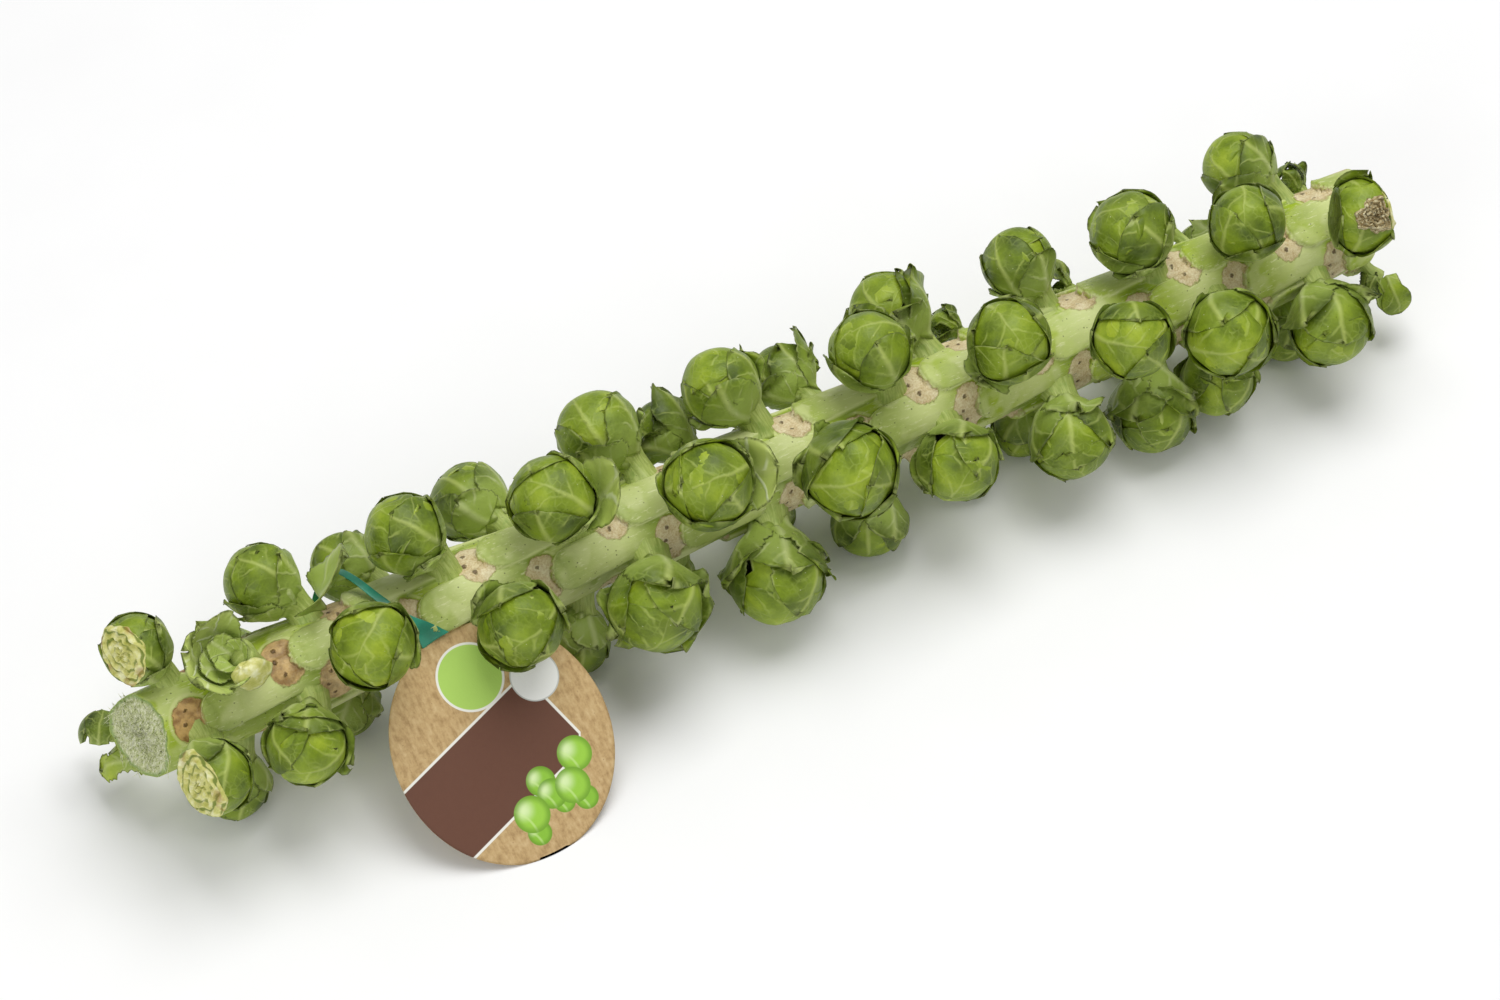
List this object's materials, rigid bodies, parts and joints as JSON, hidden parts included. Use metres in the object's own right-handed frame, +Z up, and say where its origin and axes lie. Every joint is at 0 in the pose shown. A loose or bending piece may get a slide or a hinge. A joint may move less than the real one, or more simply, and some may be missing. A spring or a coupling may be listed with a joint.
{
  "type": "brussels sprout stalk",
  "caption": "Cut brussels sprout stalk lying on its side: a thick stem with leaf scars, round sprouts on short necks in a spiral, and a round card tag on a flat strap.",
  "frame": {"origin": "on the ground, under the middle of the bounding box", "axes": "+X along the stem from the crown end to the root end, +Y away from the tag, +Z up"},
  "size_m": [0.5566, 0.1398, 0.0997],
  "materials": {
    "stem": "matte, pale green",
    "sprout": "waxy leaf",
    "bud": "waxy leaf",
    "tag_card": "uncoated card",
    "tag_strap": "satin"
  },
  "bodies": {
    "root": {"stem": "stem", "sprout_01": "sprout", "sprout_02": "sprout", "sprout_03": "sprout", "sprout_05": "sprout", "sprout_06": "sprout", "sprout_07": "sprout", "sprout_08": "sprout", "sprout_09": "sprout", "sprout_10": "sprout", "sprout_11": "sprout", "sprout_12": "sprout", "sprout_13": "sprout", "sprout_14": "sprout", "sprout_15": "sprout", "sprout_16": "sprout", "sprout_17": "sprout", "sprout_18": "sprout", "sprout_19": "sprout", "sprout_20": "sprout", "sprout_21": "sprout", "sprout_22": "sprout", "sprout_23": "sprout", "sprout_24": "sprout", "sprout_25": "sprout", "sprout_26": "sprout", "sprout_27": "sprout", "sprout_28": "sprout", "sprout_29": "sprout", "sprout_30": "sprout", "sprout_31": "sprout", "sprout_32": "sprout", "sprout_33": "sprout", "sprout_34": "sprout", "sprout_35": "sprout", "sprout_36": "sprout", "sprout_37": "sprout", "bud_38": "bud", "sprout_39": "sprout", "sprout_40": "sprout", "sprout_41": "sprout", "sprout_42": "sprout", "bud_43": "bud", "sprout_44": "sprout", "sprout_45": "sprout", "sprout_46": "sprout", "sprout_47": "sprout", "bud_48": "bud", "sprout_49": "sprout", "sprout_50": "sprout", "sprout_51": "sprout", "sprout_52": "sprout", "sprout_53": "sprout", "sprout_54": "sprout", "sprout_55": "sprout", "bud_56": "bud", "bud_57": "bud", "tag_card": "tag_card", "tag_strap": "tag_strap"}
  },
  "joints": []
}
